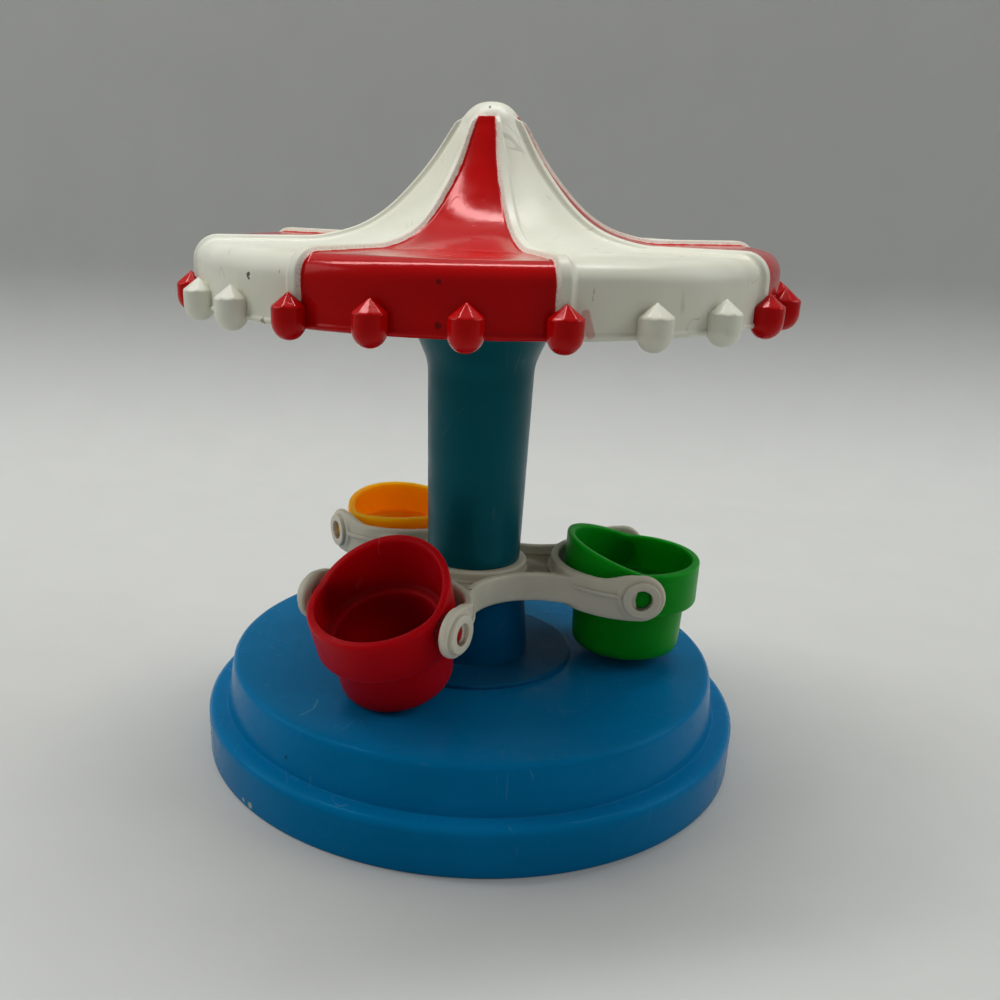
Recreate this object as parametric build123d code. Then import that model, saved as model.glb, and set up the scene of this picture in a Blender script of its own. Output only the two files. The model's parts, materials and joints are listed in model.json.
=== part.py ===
from build123d import *
import math
import os

# Toy carousel: a two-step round base, a post, and above it a spinning carrier with three
# swinging cups, a column and a ribbed canopy.  Millimetres, +Z up, origin at the centre
# of the base's underside, on the spin axis.  Arm 0 points along +X.

# ---------------------------------------------------------------- driving dimensions
# base shell
base_radius = 73.0
flange_height = 12.7
flange_width = 5.5
step_draft = 1.5
base_height = 25.0
base_wall = 2.4
base_edge = 2.0
axle_boss_wall = 4.6
axle_boss_length = 13.6
base_rib_count = 6
base_rib_thickness = 1.8
base_rib_depth = 9.0

# centre post standing on the base
foot_width = 12.2
foot_thickness = 1.2
post_draft = 1.6
post_step = 1.75
post_below_pivot = 6.1
post_wall = 2.4
post_web = 3.0
peg_radius = 3.0
peg_depth = 3.0
peg_clearance = 0.1
post_screw_radius = 1.2
post_screw_head_radius = 4.5
post_screw_head_height = 1.4
post_screw_length = 3.4

# axle, washers and push nut
axle_radius = 2.4
axle_head_rim = 3.1
axle_head_height = 1.6
axle_end = 2.0
running_clearance = 0.05
washer_clearance = 0.1
washer_thickness = 0.8
thrust_washer_rim = 4.6
top_washer_rim = 4.1
push_nut_rim = 3.6
push_nut_thickness = 1.0
end_play = 0.1

# carrier, its heights measured from the pivots
arm_count = 3
arm_radius = 42.8
hub_wall = 2.55
web_below_pivot = 0.1
web_thickness = 2.0
collar_lip = 1.95
collar_above_pivot = 2.7
spigot_height = 7.5
spigot_wall = 1.9
spigot_clearance = 0.05
strap_inset = 17.2
strap_above_pivot = 2.5
strap_below_pivot = 5.1
strap_wall = 2.0
yoke_gap = 1.8
yoke_wall = 2.2
yoke_above_pivot = 4.1
yoke_slope_start = 3.0
yoke_slope_end = 11.0
boss_disc_radius = 6.1
boss_ring_radius = 4.75
boss_ring_height = 1.1
pin_clearance = 0.08

# cups, their heights measured from the pivots
cup_radius = 17.8
cup_wall = 2.0
cup_rim = 4.8
cup_shoulder = -6.7
cup_bottom = -21.2
cup_step = 2.9
cup_draft = 0.5
cup_edge = 3.0
cup_back_start = 1.0
cup_back_slope = 0.33
cup_swing_limit = 23.0
cup_swing_clearance = 0.1
pin_radius = 2.5
pin_tip_inset = 0.8
pin_shoulder_rim = 1.1
pin_shoulder_gap = 0.4
cup_tilts = {"cup_green": 0.0, "cup_orange": -12.0, "cup_red": 20.0}

# column
column_bottom_radius = 12.45
column_taper = 1.15
column_wall = 1.8
column_length = 75.5
flare_drop = 23.5
flare_height = 8.0
flare_step = 3.6
flange_thickness = 2.0
flange_width_outside = 6.8
bearing_web_drop = 1.0
bearing_web_thickness = 2.0

# canopy
skirt_radius = 69.3
skirt_height = 14.5
canopy_wall = 2.0
brim_above_flange = 5.5
dome_height = 30.7
brim_edge = 5.0
slope_points = [(7.2, 0.139), (12.6, 0.397), (18.1, 0.609), (24.2, 0.791), (30.8, 0.914), (37.2, 0.974)]
brim_start = 44.0
rib_count = 8
rib_phase = 12.4
rib_width = 2.7
rib_proud = 0.9
rib_start_radius = 7.4
bulbs_per_rib = 3
bulb_radius = 3.5
bulb_offset = 1.6
bulb_hang = 2.2
bulb_barrel = 2.9
bulb_point = 2.9
canopy_boss_radius = 3.2
canopy_screw_radius = 1.1
canopy_screw_hole_radius = 1.5
canopy_screw_head_radius = 2.6
canopy_screw_head_height = 1.6
canopy_screw_length = 8.0

# ---------------------------------------------------------------- values that follow
step_radius = base_radius - flange_width
step_top_radius = step_radius - step_draft
axle_boss_radius = axle_radius + axle_boss_wall
axle_boss_bottom = base_height - base_wall - axle_boss_length
bore_radius = axle_radius + running_clearance
washer_bore_radius = axle_radius + washer_clearance
axle_head_radius = axle_radius + axle_head_rim
thrust_washer_radius = axle_radius + thrust_washer_rim
top_washer_radius = axle_radius + top_washer_rim
push_nut_radius = axle_radius + push_nut_rim
hub_radius = bore_radius + hub_wall

cup_lower_radius = cup_radius - cup_step
cup_bottom_radius = cup_lower_radius - cup_draft
pin_shoulder_radius = pin_radius + pin_shoulder_rim
yoke_inner_radius = cup_radius + yoke_gap
yoke_outer_radius = yoke_inner_radius + yoke_wall
boss_face = yoke_outer_radius + boss_ring_height


def swing_depth():
    """How far the cup's rounded bottom edge hangs below its pivot at the swing limit."""
    limit = math.radians(cup_swing_limit)
    across, down = cup_bottom_radius - cup_edge, -cup_bottom - cup_edge
    return across * math.sin(limit) + down * math.cos(limit) + cup_edge


pivot_height = base_height + swing_depth() + cup_swing_clearance
web_top = pivot_height - web_below_pivot
collar_top = pivot_height + collar_above_pivot
strap_top = pivot_height + strap_above_pivot
strap_bottom = pivot_height - strap_below_pivot
yoke_top = pivot_height + yoke_above_pivot

column_bottom = collar_top
column_top_radius = column_bottom_radius + column_taper
column_bore_radius = column_bottom_radius - column_wall
spigot_radius = column_bore_radius - spigot_clearance
collar_radius = column_bottom_radius + collar_lip
flange_top = column_bottom + column_length
flare_start = flange_top - flare_drop
flare_end = flare_start + flare_height
flare_radius = column_top_radius + flare_step
flange_radius = flare_radius + flange_width_outside
canopy_screw_circle = (flare_radius + flange_radius) / 2
bearing_web_top = flare_start - bearing_web_drop

post_top_radius = column_bottom_radius + post_step
post_bottom_radius = post_top_radius + post_draft
foot_radius = post_bottom_radius + foot_width
peg_circle = (post_bottom_radius + foot_radius) / 2
post_foot_top = base_height + foot_thickness
post_top = pivot_height - post_below_pivot
hub_bottom = post_top + washer_thickness + end_play
top_washer_bottom = bearing_web_top + end_play
push_nut_bottom = top_washer_bottom + washer_thickness
axle_top = push_nut_bottom + push_nut_thickness + axle_end
axle_bottom = axle_boss_bottom - axle_head_height

brim_height = flange_top + brim_above_flange
skirt_bottom = brim_height - skirt_height
canopy_height = brim_height + dome_height
bulb_bottom = skirt_bottom - bulb_hang
half_pitch = math.radians(180.0 / arm_count)


def strap_circle():
    """Centre distance and radius of the arc between two arms, tangent to both yokes."""
    a, b = arm_radius, yoke_outer_radius - strap_inset
    distance = (a * a - b * b) / (2 * b + 2 * a * math.cos(half_pitch))
    return distance, distance - strap_inset


strap_distance, strap_radius = strap_circle()


# ---------------------------------------------------------------- helpers
def turned(points):
    """A solid of revolution about Z from a closed outline of (radius, height) points."""
    face = make_face(Plane.XZ * Polyline(*points, close=True))
    return revolve(face, Axis.Z)


def tube(outer, inner, bottom, top):
    """A plain ring or tube on the Z axis."""
    return turned([(inner, bottom), (outer, bottom), (outer, top), (inner, top)])


def rod(radius, bottom, top):
    """A plain round rod on the Z axis."""
    return Pos(0, 0, bottom) * Cylinder(radius, top - bottom, align=(Align.CENTER, Align.CENTER, Align.MIN))


def around(count, start=0.0):
    """Equally spaced turns about Z."""
    return [Rot(0, 0, start + 360.0 * k / count) for k in range(count)]


def rounded(solid, size, radius, height):
    """Fillets the circular edges of one radius at one height."""
    edges = [
        e for e in solid.edges().filter_by(GeomType.CIRCLE)
        if abs(e.radius - radius) < 1e-3 and abs(e.arc_center.Z - height) < 1e-3
    ]
    return fillet(edges, size)


def save(solid, name):
    """Writes one node."""
    solid.label = name
    export_step(solid, "parts/" + name + ".step")


# ---------------------------------------------------------------- base and post
def base_shell():
    """Open-bottomed two-step shell with an axle boss and stiffening ribs underneath."""
    solid = turned([
        (0, 0), (base_radius, 0), (base_radius, flange_height), (step_radius, flange_height),
        (step_top_radius, base_height), (0, base_height),
    ])
    solid = rounded(solid, base_edge, base_radius, flange_height)
    solid = rounded(solid, base_edge, step_top_radius, base_height)
    ceiling = base_height - base_wall
    solid -= turned([
        (0, -1), (base_radius - base_wall, -1), (base_radius - base_wall, flange_height - base_wall),
        (step_radius - base_wall, flange_height - base_wall), (step_top_radius - base_wall, ceiling),
        (0, ceiling),
    ])
    solid += rod(axle_boss_radius, axle_boss_bottom, ceiling + base_wall / 2)
    rib_end = step_radius - base_wall / 2
    rib_middle = (axle_radius + axle_boss_radius) / 2
    rib = Pos((rib_middle + rib_end) / 2, 0, ceiling - base_rib_depth / 2 + base_wall / 4) * Box(
        rib_end - rib_middle, base_rib_thickness, base_rib_depth + base_wall / 2)
    keep = rod(step_top_radius - base_wall / 2, 0, base_height - base_wall / 4)
    for turn in around(base_rib_count, 180.0 / base_rib_count):
        solid += (turn * rib) & keep
    solid -= rod(axle_radius, axle_boss_bottom - 1, base_height + 1)
    for turn in around(3):
        solid -= turn * Pos(peg_circle, 0) * rod(peg_radius + peg_clearance, ceiling - 1, base_height + 1)
    return solid


def center_post():
    """Foot disc and hollow tapered post with three locating pegs under the foot."""
    solid = rod(foot_radius, base_height, post_foot_top)
    solid += turned([
        (0, base_height), (post_bottom_radius, base_height), (post_bottom_radius, post_foot_top),
        (post_top_radius, post_top), (0, post_top),
    ])
    solid = rounded(solid, foot_thickness / 2, foot_radius, post_foot_top)
    solid -= turned([
        (0, base_height - 1), (post_bottom_radius - post_wall, base_height - 1),
        (post_top_radius - post_wall, post_top - post_web), (0, post_top - post_web),
    ])
    solid -= rod(axle_radius, base_height, post_top + 1)
    for turn in around(3):
        peg = rod(peg_radius, base_height - peg_depth, base_height)
        seat = base_height - peg_depth
        hole = rod(post_screw_radius, seat - 1, seat + post_screw_length)
        solid += turn * Pos(peg_circle, 0) * peg
        solid -= turn * Pos(peg_circle, 0) * hole
    return solid


def screws(circle, seat, shank_radius, length, head_radius, head_height):
    """Three pan-head screws pointing up, heads under the height of their seat."""
    one = rod(shank_radius, seat, seat + length)
    head = rod(head_radius, seat - head_height, seat)
    one += rounded(head, head_height * 0.6, head_radius, seat - head_height)
    return Compound(children=[turn * Pos(circle, 0) * one for turn in around(3)])


def post_screws():
    """Screws that hold the post to the base from underneath."""
    seat = base_height - peg_depth
    return screws(peg_circle, seat, post_screw_radius, post_screw_length,
                  post_screw_head_radius, post_screw_head_height)


def axle():
    """Headed steel axle, pressed through the base and the post."""
    solid = rod(axle_radius, axle_bottom, axle_top)
    solid += rod(axle_head_radius, axle_bottom, axle_boss_bottom)
    return rounded(solid, axle_head_height / 3, axle_head_radius, axle_bottom)


def push_nut():
    """Spring-steel cap that grips the axle above the column's bearing web."""
    return tube(push_nut_radius, axle_radius, push_nut_bottom, push_nut_bottom + push_nut_thickness)


# ---------------------------------------------------------------- carrier
def star_outline(height, bottom):
    """The star between the yokes and the concave straps, as a plate."""
    corners = []
    for k in range(arm_count):
        a = 2 * half_pitch * k
        corners.append((arm_radius * math.cos(a), arm_radius * math.sin(a)))
        b = a + half_pitch
        corners.append((strap_distance * math.cos(b), strap_distance * math.sin(b)))
    return Pos(0, 0, bottom) * extrude(make_face(Polyline(*corners, close=True)), height)


def yoke():
    """Half ring round the inner side of one cup, with a pivot boss at each end."""
    boss_top = pivot_height + boss_disc_radius
    yoke_bottom = pivot_height - boss_disc_radius
    reach = yoke_outer_radius + 1
    ring = tube(yoke_outer_radius, yoke_inner_radius, yoke_bottom, boss_top)
    ring &= Pos(-reach / 2, 0, pivot_height) * Box(reach, 2 * reach, 4 * boss_disc_radius)
    side = Polyline((-yoke_slope_start, boss_top), (-yoke_slope_end, yoke_top), (-reach, yoke_top),
                    (-reach, boss_top + 1), (-yoke_slope_start, boss_top + 1), close=True)
    ring -= extrude(make_face(Plane.XZ * side), reach, both=True)
    for sign in (1, -1):
        turn = Pos(0, 0, pivot_height) * Rot(-90 * sign, 0, 0)
        ring += turn * rod(boss_disc_radius, yoke_inner_radius, yoke_outer_radius)
        ring += turn * rod(boss_ring_radius, yoke_inner_radius, boss_face)
        ring -= turn * rod(pin_radius + pin_clearance, yoke_inner_radius - 1, boss_face + 1)
    return ring


def carrier():
    """Three-armed moulding: hub, recessed web, concave straps, yokes and bosses."""
    web = star_outline(web_thickness, web_top - web_thickness)
    walls = star_outline(strap_top - strap_bottom, strap_bottom)
    strap_walls = None
    for turn in around(arm_count, 180.0 / arm_count):
        hole = turn * Pos(strap_distance, 0) * rod(strap_radius, strap_bottom - 1, strap_top + 1)
        band = turn * Pos(strap_distance, 0) * tube(strap_radius + strap_wall, strap_radius,
                                                    strap_bottom, strap_top)
        web -= hole
        piece = walls & band
        strap_walls = piece if strap_walls is None else strap_walls + piece
    solid = web + strap_walls
    for turn in around(arm_count):
        solid -= turn * Pos(arm_radius, 0) * rod(yoke_inner_radius, strap_bottom - 1, strap_top + 1)
    for turn in around(arm_count):
        solid += turn * Pos(arm_radius, 0) * yoke()
    solid += rod(collar_radius, web_top - web_thickness, collar_top)
    solid += rod(spigot_radius, web_top - web_thickness, collar_top + spigot_height)
    solid -= rod(spigot_radius - spigot_wall, web_top, collar_top + spigot_height + 1)
    solid += rod(hub_radius, hub_bottom, collar_top + spigot_height)
    solid -= rod(bore_radius, hub_bottom - 1, collar_top + spigot_height + 1)
    return solid


# ---------------------------------------------------------------- cups
def cup(tilt):
    """Stepped cup with a raised back and two stub pins; its pivot is the Y axis."""
    back_top = cup_rim + cup_back_slope * (cup_back_start + cup_radius)
    outer = turned([
        (0, cup_bottom), (cup_bottom_radius, cup_bottom), (cup_lower_radius, cup_shoulder),
        (cup_radius, cup_shoulder), (cup_radius, back_top + 1), (0, back_top + 1),
    ])
    outer = rounded(outer, cup_edge, cup_bottom_radius, cup_bottom)
    for sign in (1, -1):
        turn = Rot(-90 * sign, 0, 0)
        root = cup_radius - cup_wall / 2
        outer += turn * rod(pin_shoulder_radius, root, yoke_inner_radius - pin_shoulder_gap)
        pin = rod(pin_radius, root, boss_face - pin_tip_inset)
        outer += turn * rounded(pin, pin_radius * 0.5, pin_radius, boss_face - pin_tip_inset)
    ledge = cup_shoulder + cup_wall
    floor = cup_bottom + cup_wall
    outer -= turned([
        (0, floor), (cup_bottom_radius - cup_wall, floor), (cup_lower_radius - cup_wall, ledge),
        (cup_radius - cup_wall, ledge), (cup_radius - cup_wall, back_top + 2), (0, back_top + 2),
    ])
    reach = cup_radius + 1
    back = cup_rim + cup_back_slope * (cup_back_start + reach)
    side = Polyline((reach, cup_rim), (cup_back_start, cup_rim), (-reach, back), (-reach, back_top + 3),
                    (reach, back_top + 3), close=True)
    outer -= extrude(make_face(Plane.XZ * side), reach, both=True)
    return Pos(arm_radius, 0, pivot_height) * Rot(0, tilt, 0) * outer


# ---------------------------------------------------------------- column and canopy
def column():
    """Tapered tube that flares into a flange under the canopy, with a bearing web."""
    solid = turned([
        (column_bore_radius, column_bottom), (column_bottom_radius, column_bottom),
        (column_top_radius, flare_start), (flare_radius, flare_end),
        (flare_radius, flange_top - flange_thickness), (flange_radius, flange_top - flange_thickness),
        (flange_radius, flange_top), (flare_radius - column_wall, flange_top),
        (flare_radius - column_wall, flare_end), (column_top_radius - column_wall, flare_start),
    ])
    web = tube(column_top_radius - column_wall / 2, bore_radius,
               bearing_web_top - bearing_web_thickness, bearing_web_top)
    solid += web
    for turn in around(3):
        hole = rod(canopy_screw_hole_radius, flange_top - flange_thickness - 1, flange_top + 1)
        solid -= turn * Pos(canopy_screw_circle, 0) * hole
    return solid


def canopy_outline(offset):
    """Points of the roof from the dome to the brim, moved down (or up) by an offset.

    Each slope point is a radius and its drop as a share of the dome's height.
    """
    points = [(0.0, canopy_height - offset)]
    points += [(r, canopy_height - drop * dome_height - offset) for r, drop in slope_points]
    return points


def roof(offset, rim, bottom):
    """Solid under the roof surface: curved slope, brim, rounded corner and skirt."""
    corner = brim_edge - offset
    top = brim_height - offset
    slope = Spline(*canopy_outline(offset), (brim_start, top),
                   tangents=[(1, 0), (1, 0)], tangent_scalars=[1, 1])
    brim = Line((brim_start, top), (rim - corner, top))
    edge = RadiusArc((rim - corner, top), (rim, top - corner), corner)
    rest = Polyline((rim, top - corner), (rim, bottom), (0, bottom), (0, canopy_height - offset))
    return revolve(Plane.XZ * make_face(Curve() + [slope, brim, edge, rest]), Axis.Z)


def bulb():
    """Pointed bulb: half ball below, short barrel, eight-sided point above."""
    middle = bulb_bottom + bulb_radius
    solid = Pos(0, 0, middle) * Sphere(bulb_radius)
    solid += rod(bulb_radius, middle, middle + bulb_barrel)
    solid += turned([(0, middle + bulb_barrel), (bulb_radius, middle + bulb_barrel),
                     (0, middle + bulb_barrel + bulb_point)])
    return Pos(skirt_radius + bulb_offset, 0) * solid


def canopy():
    """Roof shell with eight ribs and a bulb on each rib and two between."""
    shell = roof(0.0, skirt_radius, skirt_bottom)
    proud = roof(-rib_proud, skirt_radius + rib_proud, skirt_bottom + bulb_radius)
    rib_reach = skirt_radius + 2 * rib_proud
    bar = Pos((rib_start_radius + rib_reach) / 2, 0, (skirt_bottom + canopy_height) / 2) * Box(
        rib_reach - rib_start_radius, rib_width, canopy_height)
    first_rib = rib_phase - 90.0
    for turn in around(rib_count, first_rib):
        shell += proud & (turn * bar)
    for turn in around(rib_count * bulbs_per_rib, first_rib):
        shell += turn * bulb()
    shell -= roof(canopy_wall, skirt_radius - canopy_wall, skirt_bottom - 2 * bulb_radius)
    inside = roof(canopy_wall / 2, skirt_radius - canopy_wall / 2, skirt_bottom)
    for turn in around(3):
        boss = rod(canopy_boss_radius, flange_top, canopy_height)
        shell += inside & (turn * Pos(canopy_screw_circle, 0) * boss)
        hole = rod(canopy_screw_radius, flange_top - 1, flange_top - flange_thickness + canopy_screw_length)
        shell -= turn * Pos(canopy_screw_circle, 0) * hole
    return shell


def canopy_screws():
    """Screws from below that hold the column's flange to the canopy."""
    seat = flange_top - flange_thickness
    return screws(canopy_screw_circle, seat, canopy_screw_radius, canopy_screw_length,
                  canopy_screw_head_radius, canopy_screw_head_height)


# ---------------------------------------------------------------- write the nodes
os.makedirs("parts", exist_ok=True)
save(base_shell(), "base_shell")
save(center_post(), "center_post")
save(post_screws(), "post_screws")
save(axle(), "axle")
save(tube(thrust_washer_radius, washer_bore_radius, post_top, post_top + washer_thickness), "thrust_washer")
save(tube(top_washer_radius, washer_bore_radius, top_washer_bottom, push_nut_bottom), "top_washer")
save(push_nut(), "push_nut")
save(carrier(), "carrier")
save(column(), "column")
save(canopy(), "canopy")
save(canopy_screws(), "canopy_screws")
for (name, tilt), turn in zip(cup_tilts.items(), around(arm_count)):
    save(turn * cup(tilt), name)
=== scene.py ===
# %% [markdown]
# # A toy carousel, piece by piece
# The object is a hand-spun plastic carousel: a blue base with two steps, a post, and above it
# a spinning group of a cream carrier, three swinging cups, a teal column and a red and white
# canopy.  The CAD model gives every place and joint.  This lesson makes the visible surfaces.
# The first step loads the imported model, because every new piece rides on one of its bodies.

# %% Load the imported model
import json
import math

import bmesh
import bpy
import numpy as np
from mathutils import Matrix, Vector


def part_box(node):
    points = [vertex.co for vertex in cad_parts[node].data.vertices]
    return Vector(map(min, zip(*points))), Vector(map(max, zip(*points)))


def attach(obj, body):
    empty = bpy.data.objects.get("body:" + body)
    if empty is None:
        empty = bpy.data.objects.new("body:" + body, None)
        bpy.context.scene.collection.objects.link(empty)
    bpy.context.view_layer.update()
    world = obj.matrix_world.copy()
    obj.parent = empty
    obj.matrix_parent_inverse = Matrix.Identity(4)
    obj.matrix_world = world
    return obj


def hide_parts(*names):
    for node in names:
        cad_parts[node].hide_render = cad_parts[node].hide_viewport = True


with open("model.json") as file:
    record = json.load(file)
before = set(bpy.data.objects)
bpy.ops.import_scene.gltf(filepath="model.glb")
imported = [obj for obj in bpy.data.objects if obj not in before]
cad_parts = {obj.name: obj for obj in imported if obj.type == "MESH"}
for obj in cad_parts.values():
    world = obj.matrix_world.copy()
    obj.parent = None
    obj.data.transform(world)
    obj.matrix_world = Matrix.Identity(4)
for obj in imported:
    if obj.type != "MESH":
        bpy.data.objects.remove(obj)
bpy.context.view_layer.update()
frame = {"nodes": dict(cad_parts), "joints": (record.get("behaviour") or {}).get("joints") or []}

mm = 0.001

# %% [markdown]
# ## Sizes
# Sizes that a CAD node already has are read from its box, so a change of the design carries
# through.  The rest are wall thicknesses and edge radii, which a box can't tell.

# %% Sizes from the frame
base_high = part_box("base_shell")[1]
column_low, column_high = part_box("column")
canopy_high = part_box("canopy")[1]
carrier_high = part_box("carrier")[1]
washer_clearance = 0.1 * mm
bearing_web_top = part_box("top_washer")[0].z - washer_clearance
base_radius = base_high.x
base_top = base_high.z
swings = {j["child"]: j for j in frame["joints"] if j["name"].endswith("swing")}
pivot = Vector(swings["green_cup"]["pos_m"])
arm_radius = math.hypot(pivot.x, pivot.y)
pivot_height = pivot.z
print("base radius %.4f, arm radius %.4f, pivot height %.4f" % (base_radius, arm_radius, pivot_height))

# %% [markdown]
# ## Turning profiles into meshes
# Nearly every piece here is turned or swept, so two helpers do most of the work.  One rounds
# the corners of an outline, and the other joins a grid of points into faces.  A grid keeps the
# faces even, which shows smooth highlights on glossy plastic.


# %% Outline and grid helpers
def rounded_outline(corners, closed=False, spacing=2.0 * mm, steps=7):
    """Outline through (x, y, radius) corners, each corner replaced by a tangent arc.

    The arc starts at radius / tan(half the corner angle) from the corner.  Straight runs are
    divided so that no step is longer than the spacing.
    """
    corners = np.array(corners, float)
    points = []
    count = len(corners)
    for k, (x, y, radius) in enumerate(corners):
        here = np.array((x, y))
        if radius <= 0 or (not closed and k in (0, count - 1)):
            points.append(here[None])
            continue
        back = corners[k - 1, :2] - here
        ahead = corners[(k + 1) % count, :2] - here
        back, ahead = back / np.linalg.norm(back), ahead / np.linalg.norm(ahead)
        half = math.acos(np.clip(back @ ahead, -1, 1)) / 2
        reach = radius / math.tan(half)
        middle = (back + ahead) / np.linalg.norm(back + ahead)
        centre = here + middle * radius / math.sin(half)
        start, end = here + back * reach - centre, here + ahead * reach - centre
        turn = math.pi - 2 * half
        t = np.linspace(0, 1, steps)[:, None]
        arc = (np.sin((1 - t) * turn) * start + np.sin(t * turn) * end) / math.sin(turn)
        points.append(centre + arc)
    line = np.concatenate(points)
    apart = np.linalg.norm(np.diff(line, axis=0), axis=1) > 1e-7
    line = line[np.concatenate([[True], apart])]
    if closed:
        line = np.concatenate([line, line[:1]])
    runs = np.linalg.norm(np.diff(line, axis=0), axis=1)
    stations = np.concatenate([[0], np.cumsum(runs)])
    counts = np.maximum(1, np.ceil(runs / spacing)).astype(int)
    wanted = np.concatenate([np.linspace(a, b, n, endpoint=False)
                             for a, b, n in zip(stations[:-1], stations[1:], counts)])
    if not closed:
        wanted = np.append(wanted, stations[-1])
    return np.stack([np.interp(wanted, stations, line[:, 0]), np.interp(wanted, stations, line[:, 1])], 1)


def grid_faces(rows, columns, wrap_rows, wrap_columns):
    """Quads of a rows x columns grid, with either direction joined end to end."""
    index = np.arange(rows * columns).reshape(rows, columns)
    if wrap_rows:
        index = np.concatenate([index, index[:1]])
    if wrap_columns:
        index = np.concatenate([index, index[:, :1]], axis=1)
    corners = (index[:-1, :-1], index[:-1, 1:], index[1:, 1:], index[1:, :-1])
    return np.stack([c.ravel() for c in corners], 1)


class Shells:
    """Collects grids of points, with optional values per point, for one mesh."""

    def __init__(self):
        self.points, self.faces, self.values, self.count = [], [], [], 0

    def add(self, grid, wrap_rows=False, wrap_columns=True, value=None):
        rows, columns = grid.shape[:2]
        self.faces.append(grid_faces(rows, columns, wrap_rows, wrap_columns) + self.count)
        self.points.append(grid.reshape(-1, 3))
        given = np.zeros(grid.shape[:2]) if value is None else np.broadcast_to(value, grid.shape[:2])
        self.values.append(given.ravel())
        self.count += rows * columns

    def build(self, name, attribute=None):
        """Makes the object: doubles merged, faces turned outwards, smooth shading."""
        mesh = bpy.data.meshes.new(name)
        faces = np.concatenate(self.faces)
        mesh.from_pydata(np.concatenate(self.points), [], faces.tolist())
        if attribute:
            layer = mesh.attributes.new(attribute, "FLOAT", "POINT")
            layer.data.foreach_set("value", np.concatenate(self.values).astype(np.float32))
        work = bmesh.new()
        work.from_mesh(mesh)
        bmesh.ops.remove_doubles(work, verts=work.verts, dist=2e-6)
        bmesh.ops.dissolve_degenerate(work, edges=work.edges, dist=1e-7)
        bmesh.ops.recalc_face_normals(work, faces=work.faces)
        work.to_mesh(mesh)
        work.free()
        mesh.shade_smooth()
        piece = bpy.data.objects.new(name, mesh)
        bpy.context.scene.collection.objects.link(piece)
        print("%-18s %6d faces" % (name, len(mesh.polygons)))
        return piece


def turned(outline, segments=96):
    """Grid of an outline (radius, height) turned about Z: x = r cos a, y = r sin a."""
    angle = np.linspace(0, 2 * np.pi, segments, endpoint=False)
    radius, height = outline[:, :1], outline[:, 1:2]
    return np.stack([radius * np.cos(angle), radius * np.sin(angle), height + 0 * angle], -1)


def ramp(low, high, x):
    """Smooth step from 0 below low to 1 above high: 3t^2 - 2t^3."""
    t = np.clip((x - low) / (high - low), 0, 1)
    return t * t * (3 - 2 * t)


# %% [markdown]
# ## Shader helpers
# A material is a small network of nodes.  Writing one in code is readable when a node takes one
# line, so these helpers add a node, do sums and mix colours.


# %% Node helpers
def add(tree, kind, sockets=None, **settings):
    """One node: settings are its properties, sockets its inputs as values or links."""
    node = tree.nodes.new(kind)
    for key, value in settings.items():
        setattr(node, key, value)
    for key, value in (sockets or {}).items():
        if isinstance(value, bpy.types.NodeSocket):
            tree.links.new(value, node.inputs[key])
        else:
            node.inputs[key].default_value = value
    return node


def calc(tree, operation, *values, clamp=False):
    """A Math node's result."""
    sockets = dict(enumerate(values))
    return add(tree, "ShaderNodeMath", sockets, operation=operation, use_clamp=clamp).outputs[0]


def fade(tree, low, high, value):
    """0 below low, 1 above high, smooth between."""
    sockets = {"Value": value, "From Min": low, "From Max": high}
    return add(tree, "ShaderNodeMapRange", sockets, interpolation_type="SMOOTHSTEP").outputs["Result"]


def tint(tree, amount, under, over, mode="MIX"):
    """Mixes two colours by an amount from 0 to 1."""
    node = add(tree, "ShaderNodeMix", data_type="RGBA", blend_type=mode)
    for socket, value in ((node.inputs[0], amount), (node.inputs[6], under), (node.inputs[7], over)):
        if isinstance(value, bpy.types.NodeSocket):
            tree.links.new(value, socket)
        else:
            socket.default_value = value
    return node.outputs[2]


def noise(tree, position, scale, detail=3.0, distortion=0.0, stretch=None, output="Fac"):
    """Noise of a scale in cells per metre; stretch squeezes the pattern along an axis."""
    if stretch:
        sockets = {"Vector": position, "Scale": stretch}
        position = add(tree, "ShaderNodeMapping", sockets).outputs["Vector"]
    sockets = {"Vector": position, "Scale": scale, "Detail": detail, "Distortion": distortion}
    return add(tree, "ShaderNodeTexNoise", sockets).outputs[output]


def new_group(name, inputs, outputs):
    """An empty shader group with named sockets; returns its tree, entry and exit nodes."""
    tree = bpy.data.node_groups.new(name, "ShaderNodeTree")
    kinds = {"vector": "NodeSocketVector", "value": "NodeSocketFloat", "colour": "NodeSocketColor"}
    for label, kind in inputs:
        tree.interface.new_socket(label, in_out="INPUT", socket_type=kinds[kind])
    for label, kind in outputs:
        tree.interface.new_socket(label, in_out="OUTPUT", socket_type=kinds[kind])
    return tree, tree.nodes.new("NodeGroupInput").outputs, tree.nodes.new("NodeGroupOutput").inputs


def place(tree, group, **values):
    """Places a group in a material and sets its named inputs."""
    node = add(tree, "ShaderNodeGroup", node_tree=group)
    for key, value in values.items():
        socket = node.inputs[key.replace("_", " ")]
        if isinstance(value, bpy.types.NodeSocket):
            tree.links.new(value, socket)
        else:
            socket.default_value = value
    return node.outputs


# %% [markdown]
# Every material starts and ends alike: the position it reads on its piece, then the colour,
# roughness and relief it hands to the shader.  Two functions hold that.


# %% Start and end of a material
def new_material(name):
    """A material with its tree, shader and Object position."""
    material = bpy.data.materials.new(name)
    material.use_nodes = True
    tree = material.node_tree
    return material, tree, tree.nodes["Principled BSDF"], add(tree, "ShaderNodeTexCoord").outputs["Object"]


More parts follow.
